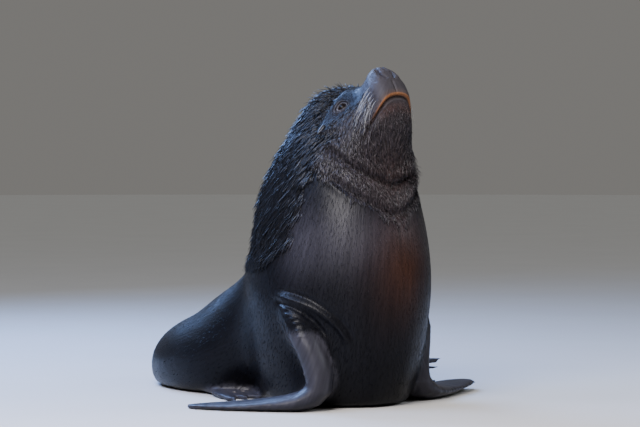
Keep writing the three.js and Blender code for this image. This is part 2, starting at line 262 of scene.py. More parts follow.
def edit(piece, wanted, step, **settings):
    """Takes one step of edit mode on the faces wanted."""
    choose(piece)
    bpy.context.tool_settings.mesh_select_mode = (False, False, True)
    bpy.ops.object.mode_set(mode="EDIT")
    bpy.ops.mesh.select_all(action="DESELECT")
    bpy.ops.object.mode_set(mode="OBJECT")
    wanted = np.broadcast_to(wanted, len(piece.data.polygons))
    piece.data.polygons.foreach_set("select", np.ascontiguousarray(wanted))
    bpy.ops.object.mode_set(mode="EDIT")
    step(**settings)
    bpy.ops.object.mode_set(mode="OBJECT")


def subdivide(piece, wanted):
    """Cuts each wanted face in four."""
    edit(piece, wanted, bpy.ops.mesh.subdivide, number_cuts=1, smoothness=0.0)


def triangulate_borders(piece):
    """Parts the many-sided faces that are left where fine faces meet coarse ones."""
    many = read(piece.data.polygons, "loop_total", 1, np.int32)[:, 0] > 4
    edit(piece, many, bpy.ops.mesh.quads_convert_to_tris, quad_method="BEAUTY", ngon_method="BEAUTY")


def tree_from(places, triangles):
    return BVHTree.FromPolygons(places.tolist(), triangles.tolist(), all_triangles=True)


def tree_of(piece):
    return tree_from(places_of(piece.data), triangles_of(piece.data))


def side_faces(rings, around):
    """The triangles of a tube between one ring and the next."""
    faces = []
    for low in range(0, (rings - 1) * around, around):
        high = low + around
        for k in range(around):
            after = (k + 1) % around
            faces += [(low + k, low + after, high + after), (low + k, high + after, high + k)]
    return faces


def mesh_piece(name, places, corners):
    """An object made of triangles."""
    mesh = bpy.data.meshes.new(name)
    mesh.vertices.add(len(places))
    mesh.vertices.foreach_set("co", np.asarray(places, np.float32).ravel())
    mesh.loops.add(corners.size)
    mesh.loops.foreach_set("vertex_index", corners.astype(np.int32).ravel())
    mesh.polygons.add(len(corners))
    mesh.polygons.foreach_set("loop_start", np.arange(0, corners.size, 3, dtype=np.int32))
    mesh.update(calc_edges=True)
    smooth(mesh)
    piece = bpy.data.objects.new(name, mesh)
    bpy.context.scene.collection.objects.link(piece)
    return piece


def distance_to_path(points, path):
    """How far each point is from a path, and the share of the path up to its nearest place."""
    path = np.asarray(path, float)
    best = np.full(len(points), np.inf)
    share = np.zeros(len(points))
    spans = len(path) - 1
    for k in range(spans):
        start, run = path[k], path[k + 1] - path[k]
        along = np.clip((points - start) @ run / (run @ run), 0, 1)
        gap = np.linalg.norm(points - start - along[:, None] * run, axis=1)
        nearer = gap < best
        best[nearer] = gap[nearer]
        share[nearer] = (k + along[nearer]) / spans
    return best, share


def curved(path, pieces=6):
    """A path through the same stops, bent smoothly between them."""
    path = np.asarray(path, float)
    ends = np.vstack((2 * path[0] - path[1], path, 2 * path[-1] - path[-2]))
    out = []
    for k in range(1, len(ends) - 2):
        before, here, after, beyond = ends[k - 1 : k + 3]
        for t in np.arange(pieces) / pieces:
            bend = (2 * before - 5 * here + 4 * after - beyond) * t**2
            twist = (3 * here - before - 3 * after + beyond) * t**3
            out.append((2 * here + (after - before) * t + bend + twist) / 2)
    return np.array([*out, path[-1]])


# ---------- sizes and colours that a user would change ----------
Length = partial(FloatProperty, unit="LENGTH")
Angle = partial(FloatProperty, subtype="ANGLE")
Colour = partial(FloatVectorProperty, subtype="COLOR")


class SkinSettings(bpy.types.PropertyGroup):
    """The skin under the coat."""

    mesh_size: Length(name="Mesh size", description="Side of the skin's faces on the body", default=0.013)
    coat_depth: Length(name="Coat depth", description="How deep the short coat is", default=0.002)
    mane_depth: Length(name="Mane depth", description="How deep the mane is", default=0.009)


class CoatSettings(bpy.types.PropertyGroup):
    """The coat's tufts."""

    mane_length: Length(name="Mane length", description="Length of the mane's locks", default=0.062)
    throat_length: Length(name="Throat length", description="Length of the throat's locks", default=0.030)
    short_length: Length(name="Short length", description="Length of the short coat's tufts", default=0.016)
    seed: IntProperty(name="Seed", description="Start of the random draws", default=7)


class ColourSettings(bpy.types.PropertyGroup):
    """The animal's colours."""

    coat: Colour(name="Coat", description="Wet coat", default=(0.0026, 0.0026, 0.0036))
    chest: Colour(name="Chest", description="Brown tinge of the chest", default=(0.026, 0.011, 0.007))
    bare: Colour(name="Flippers", description="Bare skin of the flippers", default=(0.0225, 0.0215, 0.0265))
    lip: Colour(name="Lip", description="Rusty band along the upper lip", default=(0.115, 0.047, 0.018))
    whisker: Colour(name="Whiskers", description="Pale horn of the whiskers", default=(0.26, 0.25, 0.235))
    iris: Colour(name="Iris", description="Dark brown of the iris", default=(0.0045, 0.0025, 0.0016))


class StageSettings(bpy.types.PropertyGroup):
    """Camera and light."""

    azimuth: Angle(name="Azimuth", description="How far round the camera stands", default=math.radians(52))
    elevation: Angle(name="Elevation", description="How far the camera looks down", default=math.radians(1.5))
    distance: Length(name="Distance", description="From the camera to its aim", default=8.0)
    aim_height: Length(name="Aim height", description="Height of the camera's aim", default=0.649)
    lens: FloatProperty(name="Lens", description="Focal length in millimetres", default=128.57)


# ---------- the skin ----------
SKIN_SWELL = 0.0006  # how far the solids' faces are moved out before they are made one
CUT_REACH = 1e-5


def join_flesh():
    """One object that holds a copy of every flesh node and eye."""
    names = [*FLESH, *(f"{side}_eye" for side in SIDES)]
    choose(*(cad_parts[name] for name in names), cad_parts["trunk"])
    bpy.ops.object.duplicate()
    bpy.ops.object.join()
    joined = bpy.context.view_layer.objects.active
    joined.name = "skin"
    joined.parent = None
    for key in list(joined.keys()):
        del joined[key]
    edit(joined, True, bpy.ops.mesh.remove_doubles, threshold=CUT_REACH)
    joined.data.materials.clear()
    return joined


class FleshMap:
    """Finds which node of flesh is nearest to a place."""

    def __init__(self):
        places, triangles, owner, count = [], [], [], 0
        for number, name in enumerate(FLESH):
            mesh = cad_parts[name].data
            triangles.append(triangles_of(mesh) + count)
            places.append(places_of(mesh))
            owner.append(np.full(len(triangles[-1]), number))
            count += len(places[-1])
        self.tree = tree_from(np.vstack(places), np.vstack(triangles))
        self.owner = np.concatenate(owner)

    def share(self, points, names):
        """1 at the places whose nearest node is one of these, and 0 at the others."""
        wanted = np.array([name in names for name in FLESH])
        nearest = np.array([self.tree.find_nearest(Vector(p))[2] for p in points])
        return wanted[self.owner[nearest]].astype(float)


def stroke(points, normals, path, radius, amount, fade=(0.18, 0.18)):
    """Raises the skin along a path, or sinks it where amount is negative, fading out at each end."""
    points = points.copy()
    line = curved(path)
    low, high = line.min(axis=0) - 3 * radius, line.max(axis=0) + 3 * radius
    near = np.flatnonzero(((points > low) & (points < high)).all(axis=1))
    gap, share = distance_to_path(points[near], line)
    ends = smoothstep(share, 0, fade[0]) * smoothstep(1 - share, 0, fade[1])
    points[near] += normals[near] * (amount * ends * bump(gap, 0, radius))[:, None]
    return points


# ---------- the face, worked into the skin in the head's frame, in millimetres ----------
MOUTH_AHEAD, MOUTH_UP = 26, -176  # the mouth's corner
MOUTH_SLOPE = 0.28
MOUTH_BOW = 0.00042  # how far the line of the mouth is bowed between its corner and the front
LIP_FRONT = 150
NOSE_SIDEWAYS = -8  # the muzzle's middle line bends this far to the animal's right at the nose
EAR_HOLE = (-64, 146, -43)
EAR_MIDDLE = (-74, 146, -36)
EYE_CENTRE = (-4, 70.5, -5)
EYE_BALL_RADIUS = 18.5
EYE_GAZE = np.array((0.50, 0.86, 0.08))
LID_OPENING = (15.5, 11.3)  # half its length and half its height
LID_THICKNESS = 2.2
LID_REACH = 62  # how far from the eye's centre the skin is worked
THROAT_FOLDS = [
    # place ahead, height below which it is full, height above which there is none, depth, half-width
    (-78, -130, -92, 11, 7),
    (-136, -230, -195, 10, 7),
]


def midline(ahead):
    return NOSE_SIDEWAYS * smoothstep(ahead, 40, 150)


def above_mouth(head):
    """Height above the line of the mouth, and how much of a mouth there is at that place."""
    past = head[:, 0] - MOUTH_AHEAD
    drop = MOUTH_BOW * np.clip(past, 0, 200) * np.clip(LIP_FRONT - head[:, 0], 0, 200)
    return head[:, 2] - (MOUTH_UP + MOUTH_SLOPE * past) + drop, smoothstep(past, -4, 22)


def throat_folds(head):
    """How far the throat's skin goes out, or in where negative, at its folds."""
    out = np.zeros(len(head))
    for ahead, full, none, depth, width in THROAT_FOLDS:
        off = head[:, 0] - (ahead - fold_dip(head))
        share = smoothstep(-head[:, 2], -none, -full)
        out += share * (5.5 * bump(off, 20, 16) - depth * bump(off, 0, width) + 2 * bump(off, -15, 9))
    return out


def fold_dip(head):
    """How far the throat's folds hang back at the middle."""
    return 12 * bump(head[:, 1], 0, 60) * smoothstep(-head[:, 2], 250, 320)


def eye_frame(side):
    """The eye's centre, and its axes along the opening, across it, and out along the gaze."""
    gaze = EYE_GAZE * (1, side, 1) / np.linalg.norm(EYE_GAZE)
    long = np.array((1.0, 0.0, -0.10))
    long -= gaze * (long @ gaze)
    long /= np.linalg.norm(long)
    high = np.cross(gaze, long) * -side
    return np.array(EYE_CENTRE) * (1, side, 1), long, high, gaze


def lid_place(local):
    """How far out from the middle of the lids' opening a place is: 1 on the rim of the lids."""
    long, high = LID_OPENING
    x, y = (local[:, 0] - 2) / long, (local[:, 1] + 3) / high
    y = y + 0.10 * x * x
    return (np.abs(x) ** 1.8 + np.abs(y) ** 1.8) ** (1 / 1.8)


def same_side(head):
    """The same places, with those on the right mirrored to the left."""
    return np.column_stack((head[:, 0], np.abs(head[:, 1]), head[:, 2]))


def from_ear_hole(head):
    return gap_to(same_side(head), EAR_HOLE)


def set_lids(head):
    """Lays the skin over the eyeballs as lids, with an opening, a thick rim and creases round it."""
    head = head.copy()
    for side in SIDES.values():
        centre, *axes = eye_frame(side)
        axes = np.array(axes)
        near = np.flatnonzero(gap_to(head, centre) < LID_REACH)
        local = (head[near] - centre) @ axes.T
        rho = lid_place(local)
        flat = (local[:, :2] ** 2).sum(axis=1)
        ball = np.sqrt(np.maximum(EYE_BALL_RADIUS**2 - flat, 0))
        lid = np.sqrt(np.maximum((EYE_BALL_RADIUS + LID_THICKNESS) ** 2 - flat, 0))
        hug = 1 - smoothstep(rho, 1.35, 2.3)
        height = local[:, 2] + hug * (np.maximum(lid, local[:, 2] - 3) - local[:, 2])
        height += 0.9 * bump(rho, 1.17, 0.12) - 1.8 * bump(rho, 1.55, 0.13) + 1.1 * bump(rho, 1.85, 0.2)
        height -= 1.2 * bump(rho, 2.2, 0.15)
        inside = smoothstep(rho, 1.08, 0.92)
        height += inside * (ball - 3.5 - height)
        local[:, 2] = np.where(local[:, 2] > 0, height, local[:, 2])
        head[near] = centre + local @ axes
    return head


def face_forms(head, normal):
    """The larger forms of the face."""
    out = throat_folds(head)
    level, mouth = above_mouth(head)
    # the upper lip stands over the mouth, and the lower lip and chin stand back
    out += mouth * smoothstep(head[:, 0], 20, 60) * (3.0 * bump(level, 14, 12) + 3.5 * bump(level, -17, 12))
    out -= 5.0 * on_both_sides(head, (-2, 90, -9), 27, (1.25, 1, 1))  # the hollow round the eye
    out += 4.0 * on_both_sides(head, (2, 80, 23), 13, (1.9, 1, 1))  # the brow
    out += 3.5 * on_both_sides(head, (104, 46, -102), 26, (1.3, 1, 1))  # the whiskers' pad
    return head + normal * out[:, None]


FACE_LINES = [
    # path, radius, height
    ([(30, 92, -176), (18, 100, -186), (8, 104, -196)], 6, -4),  # behind the corner of the mouth
    ([(36, 92, -160), (18, 102, -166), (2, 108, -182)], 7, 3),
    ([(160, 30, -6), (172, 38, -30), (176, 40, -52), (178, 34, -72)], 7, 3.5),  # the nose's wing
    ([(148, 46, -14), (160, 50, -44), (164, 48, -74)], 6, -2.5),
    # the nostril
    ([(166, 15, -4), (178, 24, -24), (183, 26, -44), (185, 22, -62), (186, 12, -76)], 4.0, -13),
    ([(172, 8, -6), (185, 10, -26), (190, 10, -48)], 4.5, 2.5),
    ([(188, 0, -78), (185, 0, -98), (175, 0, -120), (158, 0, -134)], 4.0, -5),  # the cleft under the nose
    ([(32, 86, -3), (18, 94, -27), (-4, 101, -35), (-26, 105, -27)], 4, -1.6),  # folds round the eye
    ([(24, 76, 17), (-2, 86, 27), (-28, 95, 19)], 4, -1.4),
    # rows that the whiskers stand in
    *(([(60, 66, up - 8), (96, 60, up - 2), (130, 46, up + 2)], 2.6, -1.1) for up in range(-64, -134, -14)),
]


def face_details(head, normal):
    """The lips, nostrils, ear openings and small folds of the face."""
    level, mouth = above_mouth(head)
    depth = 7.5 * mouth * bump(level, 0, 2.6) + 10 * bump(from_ear_hole(head), 0, 7)
    lip = mouth * smoothstep(head[:, 0], 60, 110) * (1.6 * bump(level, 6, 3) + 1.6 * bump(level, -6.5, 3.5))
    head = head + normal * (lip - depth)[:, None]
    for path, radius, height in FACE_LINES:
        in_middle = path[0][1] == 0
        for sign in (1,) if in_middle else (1, -1):
            stops = np.array(path, float) * (1, sign, 1)
            stops[:, 1] += midline(stops[:, 0])
            stops = [head[gap_to(head, stop).argmin()] for stop in stops]
            head = stroke(head, normal, stops, radius, height)
    return head


# ---------- wrinkles of the limbs, in metres ----------
ELBOW = (0.225, -0.305, 0.315)
WRIST = (0.280, -0.285, 0.105)
ARM_FOLD = [(0.120, -0.300, 0.395), (0.228, -0.300, 0.368), (0.297, -0.253, 0.338), (0.370, -0.160, 0.205)]
LOOSE_SKIN = [
    # path, radius, height
    (
        [(0.110, -0.300, 0.385), *ARM_FOLD[1:3], (0.351, -0.194, 0.276), ARM_FOLD[3]],
        *(0.013, 0.009),
    ),
    (
        [(0.130, -0.300, 0.408), (0.240, -0.285, 0.388), (0.305, -0.240, 0.354), (0.362, -0.180, 0.285)]
        + [(0.378, -0.140, 0.21)],
        *(0.009, -0.008),
    ),
    (
        [(0.142, -0.309, 0.364), (0.228, -0.298, 0.345), (0.290, -0.260, 0.304), (0.326, -0.212, 0.234)],
        *(0.008, -0.008),
    ),
]
GATHERS = [
    # behind the elbow
    [(0.150, -0.316, 0.352), (0.205, -0.316, 0.342), (0.262, -0.285, 0.324)],
    [(0.188, -0.322, 0.330), (0.225, -0.318, 0.322), (0.277, -0.277, 0.305)],
    [(0.238, -0.322, 0.312), (0.255, -0.312, 0.308), (0.275, -0.292, 0.302)],
    [(0.255, -0.322, 0.293), (0.272, -0.306, 0.291), (0.291, -0.282, 0.288)],
    [(0.268, -0.324, 0.270), (0.288, -0.300, 0.268), (0.306, -0.276, 0.266)],
    [(0.274, -0.326, 0.250), (0.294, -0.302, 0.250), (0.312, -0.280, 0.250)],
    # at the wrist
    [(0.250, -0.262, 0.112), (0.280, -0.290, 0.122), (0.312, -0.300, 0.128)],
    [(0.246, -0.270, 0.096), (0.280, -0.298, 0.106), (0.318, -0.306, 0.112)],
    [(0.236, -0.262, 0.082), (0.272, -0.296, 0.088), (0.308, -0.306, 0.092)],
]
GATHER_ROOTS = [(0.200, -0.316, 0.335), (0.255, -0.312, 0.308), (0.288, -0.302, 0.255)]
GATHER_RADIUS, GATHER_HEIGHT = 0.0038, 0.0040


def limb_wrinkles(places, normal):
    for path, radius, height in LOOSE_SKIN:
        places = stroke(places, normal, path, radius, height)
    for path in GATHERS:
        places = stroke(places, normal, path, GATHER_RADIUS, GATHER_HEIGHT, fade=(0.35, 0.6))
    return places


def work_face(skin, forms):
    """Moves the head's vertices by a function of their places and normals in the head's frame."""
    mesh = skin.data
    places, normals = places_of(mesh), normals_of(mesh)
    near = np.flatnonzero((to_head(places)[:, 0] > -220) & (places[:, 2] > 0.6))
    places[near] = from_head(forms(to_head(places[near]), normals[near] @ HEAD_AXES.T))
    put_places(mesh, places)


# ---------- how the coat lies and grows ----------
MANE_FRONT = [
    # height, and how far forward the mane reaches there
    (0.46, 0.000), (0.49, 0.080), (0.57, 0.190), (0.70, 0.205),
    (0.80, 0.222), (0.87, 0.262), (0.98, 0.300), (1.20, 0.300),
]
CROWN_FRONT = [
    # height in the head's frame, and how far ahead the mane reaches there
    (-95, -6), (-62, -44), (-45, -72), (-18, -52), (13, -26), (32, 8), (54, 44),
]
UPRIGHT = 1.02  # the place along the guide line where the body starts to rise
THROAT_START = 1.395
ON_BACK = np.array((-0.10, 0, -1))  # the hair's way where the body is upright
ON_MANE = np.array((-0.50, 0, -1.0))


class Coat:
    """The lie, length and kind of the coat at places on the skin."""

    def __init__(self, places, normals, bare):
        self.places, self.normals, self.bare = places, normals, bare
        self.lie = Lie(places)
        self.head = to_head(places)
        ahead, _, up = self.head.T
        level, _ = above_mouth(self.head)
        _, y, z = places.T
        ragged = 0.012 * np.sin(z * 90) + 0.010 * np.sin(z * 41 + y * 30)
        self.mane = self.mane_share(ragged)
        reach = 118 + 34 * smoothstep(-level, 4, 12)
        self.throat = smoothstep(self.lie.run, THROAT_START, THROAT_START + 0.045) * (1 - self.mane)
        self.throat *= smoothstep(reach - ahead, 0, 45) * smoothstep(-up, 30, 105)
        lowest = THROAT_FOLDS[1][0] - fold_dip(self.head)
        self.throat *= smoothstep(ahead - lowest + 400 * ragged, -14, 4)
        self.face = smoothstep(ahead, -90, -40) * smoothstep(-up, 190, 150)
        self.face *= (1 - self.mane) * (1 - self.throat)
        self.muzzle = smoothstep(ahead, 60, 110) * smoothstep(z, 0.85, 0.95)
        self.socket = np.clip(1.5 * on_both_sides(self.head, (-20, 96, -17), 29, (1.4, 1, 1.1)), 0, 1)
        self.ears = bump(from_ear_hole(self.head), 0, 12)
        self.dull = np.clip(0.45 * self.muzzle + self.socket + self.ears, 0, 1)
        muzzle_end = smoothstep(ahead, 118, 150) * (1 - smoothstep(-level, 3, 9))
        lips = smoothstep(ahead, 8, 30) * smoothstep(-up, 60, 100) * bump(level, 2, 8)
        eyes = on_both_sides(self.head, (-8, 94, -12), 24, (1.3, 1, 1))
        bald = np.clip(lips + eyes + 1.3 * self.ears, 0, 1)
        self.furred = (1 - smoothstep(bare, 0.25, 0.75)) * (1 - muzzle_end) * (1 - bald)
        self.mane *= self.furred
        self.way = self.find_way()

    def mane_share(self, ragged):
        """1 in the mane, behind its front on the body and on the crown, and off the ears."""
        x, _, z = self.places.T
        ahead, _, up = self.head.T
        mane = smoothstep(np.interp(z, *np.transpose(MANE_FRONT)) + ragged - x, -0.012, 0.035)
        mane *= smoothstep(z + ragged, 0.462, 0.53)
        mane *= smoothstep(np.interp(up, *np.transpose(CROWN_FRONT)) + 300 * ragged - ahead, -4, 26)
        return mane * smoothstep(gap_to(same_side(self.head), EAR_MIDDLE), 14, 22)

    def find_way(self):
        """The way that hair points: back along the body, and down where the body is upright."""
        upright = smoothstep(self.lie.run, UPRIGHT, 1.2)[:, None]
        to_middle = -0.28 * np.tanh(self.places[:, 1] / 0.05)
        hang = np.stack((-0.12 * np.ones_like(to_middle), to_middle, -np.ones_like(to_middle)), axis=1)
        way = (-self.lie.along - 0.25 * self.lie.over) * (1 - upright) + ON_BACK * upright
        way += (ON_MANE - way) * np.maximum(self.mane, self.face)[:, None]
        way += (hang - way) * self.throat[:, None]
        return unit(way - self.normals * (way * self.normals).sum(axis=1)[:, None])


def mix(colour, other, share):
    """Takes each colour towards the other by its share."""
    return colour * (1 - share[:, None]) + np.asarray(other) * share[:, None]


def tint_of(plan, colours):
    """The colour of skin and coat at each place."""
    x, y, z = plan.places.T
    level, ahead = plan.level, plan.head[:, 0]
    _, mouth = above_mouth(plan.head)
    coat = np.array(colours.coat)
    colour = mix(coat, colours.bare, smoothstep(plan.bare, 0.2, 0.8))
    colour = mix(colour, coat + (0.0150, 0.0120, 0.0118), np.clip(plan.throat, 0, 1))
    colour = mix(colour, (0.020, 0.0165, 0.0175), 0.8 * mouth * smoothstep(-level, 5, 22))  # chin
    red = 0.8 * mouth * smoothstep(ahead, 75, 130) * bump(level, -13, 11)
    colour = mix(colour, (0.036, 0.0185, 0.0150), red)
    colour = mix(colour, (0.0235, 0.0205, 0.0225), plan.muzzle * smoothstep(plan.head[:, 2], -172, -140))
    # painted sheen: a lighter band across the chest, clear of the mane and throat, stands in for the wet
    # coat's sheen there
    pale = bump(z, 0.565, 0.11) * smoothstep(x, 0.10, 0.24) * (1 - plan.mane) ** 2 * (1 - plan.throat)
    colour = colour + np.outer(pale, (0.0165, 0.0150, 0.0175))
    brown = bump(z, 0.47, 0.15) * bump(y, 0.02, 0.11) * smoothstep(x, 0.25, 0.40)
    brown = np.maximum(brown, 0.35 * bump(z, 0.80, 0.10) * bump(y, 0.0, 0.10) * smoothstep(x, 0.25, 0.36))
    colour = mix(colour, colours.chest, brown * (1 - plan.bare))
    full = smoothstep(ahead, 55, 145)
    band = mouth * full * smoothstep(level, 1.6, 3.0) * smoothstep(-level, -5 - 4 * full, -4 - 3 * full)
    faint = 0.12 * mouth * smoothstep(ahead, 30, 110) * bump(level, 8, 8)
    # painted shade: darker along the line of the mouth, in the gap between the lips
    colour = colour * (1 - 0.8 * mouth * bump(level, -0.3, 2.2))[:, None]
    colour = mix(colour, colours.lip, np.clip(0.85 * band + faint, 0, 1))
    colour = mix(colour, (0.006, 0.0038, 0.003), 0.85 * plan.socket)
    # painted highlight: the rims of the lids, and the crease round them, made paler
    colour = colour + np.outer(lid_highlights(plan.head), (0.075, 0.072, 0.080))
    # painted shade: the skin darkened in and round the ear's opening
    colour = colour * (1 - 0.8 * plan.ears)[:, None]
    return with_alpha(colour)


def lid_highlights(head):
    """Painted highlight on the lids: 1 on their rims, and half on the crease round them."""
    rings = np.zeros(len(head))
    for sign in SIDES.values():
        centre, *axes = eye_frame(sign)
        local = (head - centre) @ np.array(axes).T
        rho = lid_place(local)
        ring = bump(rho, 1.18, 0.13) + 0.5 * bump(rho, 1.85, 0.14)
        rings += ring * (local[:, 2] > 0) * (np.linalg.norm(local, axis=1) < 50)
    return rings


def with_alpha(colour):
    return np.hstack((colour, np.ones((len(colour), 1))))


# ---------- finishes ----------
class Finish:
    """Builds one material's nodes."""

    def __init__(self, name):
        self.material = bpy.data.materials.new(name)
        self.material.use_nodes = True
        self.tree = self.material.node_tree

    def fill(self, node, values):
        for key, value in values.items():
            if isinstance(value, bpy.types.NodeSocket):
                self.tree.links.new(value, node.inputs[key])
            else:
                node.inputs[key].default_value = value

    def node(self, kind, inputs=None, **settings):
        node = self.tree.nodes.new(kind)
        for key, value in settings.items():
            setattr(node, key, value)
        self.fill(node, inputs or {})
        return node

    def attribute(self, name, output="Vector"):
        return self.node("ShaderNodeAttribute", attribute_name=name).outputs[output]

    def place(self):
        return self.node("ShaderNodeTexCoord").outputs["Object"]

    def noise(self, vector, scale, detail=3.0, roughness=0.55):
        settings = {"Vector": vector, "Scale": scale, "Detail": detail, "Roughness": roughness}
        return self.node("ShaderNodeTexNoise", settings).outputs["Fac"]

    def remap(self, value, low, high, to_low, to_high):
        settings = {"Value": value, "From Min": low, "From Max": high, "To Min": to_low, "To Max": to_high}
        return self.node("ShaderNodeMapRange", settings).outputs["Result"]

    def grained(self, grain, low, high):
        """A share that follows the grain."""
        return self.remap(grain, 0.3, 0.7, low, high)

    def times(self, value, other):
        return self.node("ShaderNodeMath", {0: value, 1: other}, operation="MULTIPLY").outputs[0]

    def plus(self, value, other):
        return self.node("ShaderNodeMath", {0: value, 1: other}, operation="ADD").outputs[0]

    def shade(self, colour, share):
        return self.node("ShaderNodeVectorMath", {0: colour, "Scale": share}, operation="SCALE").outputs[0]

    def ramp(self, value, dark, light):
        ramp = self.node("ShaderNodeValToRGB", {"Fac": value})
        for stop, colour in zip(ramp.color_ramp.elements, (dark, light)):
            stop.color = (*colour, 1)
        return ramp.outputs["Color"]

    def bump(self, height, distance):
        return self.node("ShaderNodeBump", {"Height": height, "Distance": distance}).outputs["Normal"]

    def put(self, **sockets):
        named = {key.replace("_", " "): value for key, value in sockets.items()}
        self.fill(self.tree.nodes["Principled BSDF"], named)
        return self.material


def skin_finish():
    """Wet short fur in fine clumps on the body, and wet leathery skin on the flippers."""
    finish = Finish("wet_skin")
    flow, place, bare = finish.attribute("flow"), finish.place(), finish.attribute("bare", "Fac")
    streaks = finish.noise(flow, 150.0, 4.0, 0.6)
    clumps = finish.noise(flow, 55.0, 2.0)
    patches = finish.noise(place, 9.0)
    grain = finish.noise(place, 260.0)
    creases = finish.noise(place, 38.0, 4.0, 0.6)
    fur = finish.plus(finish.times(streaks, 0.5), finish.times(clumps, 0.35))
    leather = finish.plus(finish.times(grain, 0.30), finish.times(creases, 0.5))
    furred = finish.remap(bare, 0.2, 0.8, 1.0, 0.0)
    leathery = finish.remap(bare, 0.2, 0.8, 0.0, 0.6)
    height = finish.plus(finish.times(fur, furred), finish.times(leather, leathery))
    rough = finish.plus(finish.remap(patches, 0.35, 0.65, 0.31, 0.40), finish.times(bare, 0.02))
    return finish.put(
        Base_Color=finish.shade(finish.attribute("tint", "Color"), finish.grained(streaks, 0.65, 1.35)),
        Roughness=finish.plus(rough, finish.times(finish.attribute("dull", "Fac"), 0.36)),
        Normal=finish.bump(height, 0.0016),
        Specular_IOR_Level=0.095,
    )


def hair_finish(name, shine):
    """Wet tufts: dark, with fine strands along them, and each with its own gloss."""
    finish = Finish(name)
    strand = finish.attribute("strand")
    fine = finish.noise(strand, 900.0, 2.0)
    seat = finish.node("ShaderNodeSeparateXYZ", {"Vector": strand}).outputs["Z"]
    each = finish.node("ShaderNodeTexWhiteNoise", {"W": seat}, noise_dimensions="1D").outputs["Value"]
    return finish.put(
        Base_Color=finish.shade(finish.attribute("tint", "Color"), finish.grained(fine, 0.6, 1.4)),
        Roughness=finish.plus(finish.grained(fine, 0.0, 0.10), finish.remap(each, 0.0, 1.0, 0.20, 0.44)),
        Normal=finish.bump(fine, 0.0005),
        Specular_IOR_Level=shine,
    )


# ---------- growing tufts ----------
CELL_GROWTH = 1.15  # from one size of the cells that hold one root each to the next
CELL_SIZE = 1.12
LOWEST_ROOT = 0.004
TUFT_SHINE = {"wet_locks": 0.20, "wet_short_coat": 0.09}
ROOT_DEPTH = 0.0010
HEAP = 0.0022  # how far the locks of one clump stand up over each other
CLUMP_REACH = 0.012
PATCH = 0.003  # side of a tuft's patch on the unwrap


class Scatter:
    """Picks places on the skin, about a spacing apart, and reads the coat's plan there."""

    def __init__(self, seed):
        skin = bpy.data.objects["skin"]
        mesh = skin.data
        self.places, self.normals = places_of(mesh), normals_of(mesh)
        self.tree, self.corners = tree_of(skin), triangles_of(mesh)
        self.plan = Coat(self.places, self.normals, get_attribute(mesh, "bare", 1)[:, 0])
        self.tint = get_attribute(mesh, "tint", 4)
        one, two, three = (self.places[self.corners[:, k]] for k in range(3))
        self.area = np.linalg.norm(np.cross(two - one, three - one), axis=1) / 2
        self.random = np.random.default_rng(seed)

    def on_faces(self, values):
        return values[self.corners].mean(axis=1)

    def pick(self, share, spacing, crowding=5.0):
        """Roots where share is over 0: fewer where it is small."""
        share = self.on_faces(share) * self.area / spacing**2
        share[self.on_faces(self.places[:, 2]) < LOWEST_ROOT] = 0
        wanted = int(share.sum() * crowding)
        face = self.random.choice(len(share), size=wanted, p=share / share.sum())
        first, second = self.random.random((2, wanted))
        over = first + second > 1
        first[over], second[over] = 1 - first[over], 1 - second[over]
        weight = np.stack((1 - first - second, first, second), axis=1)
        place = self.blend(self.places, face, weight)
        level = round(math.log(spacing) / math.log(CELL_GROWTH))
        cell = np.floor(place / (CELL_GROWTH**level * CELL_SIZE)).astype(int)
        _, kept = np.unique(cell, axis=0, return_index=True)
        kept.sort()
        return Roots(self, face[kept], weight[kept])

    def blend(self, values, face, weight):
        corners = values[self.corners[face]]
        return (corners * (weight if values.ndim == 1 else weight[..., None])).sum(axis=1)


class Roots:
    """The roots of one piece's tufts."""

    def __init__(self, scatter, face, weight):
        plan = scatter.plan
        wanted = (scatter.places, scatter.normals, plan.way, scatter.tint, plan.mane)
        blended = [scatter.blend(values, face, weight) for values in wanted]
        self.place, self.normal, self.way, self.tint, self.mane = blended
        self.normal, self.way = unit(self.normal), unit(self.way)
        self.lie = Lie(self.place)
        self.count = len(self.place)


def gather(roots, clump, random):
    """Where each root's nearest clump stands from it."""
    chosen = random.random(roots.count) < clump
    centres = roots.place[chosen]
    tree = KDTree(len(centres))
    for index, place in enumerate(centres):
        tree.insert(place, index)
    tree.balance()
    nearest = np.array([tree.find(place)[1] for place in roots.place])
    return centres[nearest] - roots.place


def clear_of_ears(roots, length):
    """Shortens the tufts that would lie over an ear."""
    for sign in SIDES.values():
        off = from_head((-74, sign * 150, -36)) - roots.place
        gap = np.linalg.norm(off, axis=1)
        towards = smoothstep((off * roots.way).sum(axis=1) / gap, 0.2, 0.7)
        length = length + towards * (np.minimum(length, np.maximum(gap - 0.020, 0.012)) - length)
    return length


def lay_down(scatter, roots, way, step, rings):
    """Each tuft's middle line, with the way out from the skin and the way on at each ring."""
    spots, outs, ways = [roots.place], [roots.normal], [way]
    for _ in range(rings - 1):
        guess = spots[-1] + ways[-1] * step[:, None]
        found = [scatter.tree.find_nearest(Vector(place)) for place in guess]
        spots.append(np.array([f[0] for f in found]))
        outs.append(unit(outs[-1] + 1.2 * np.array([f[1] for f in found])))
        ways.append(unit(ways[-1] - outs[-1] * (ways[-1] * outs[-1]).sum(axis=1)[:, None]))
    return [np.stack(steps, axis=1) for steps in (spots, outs, ways)]


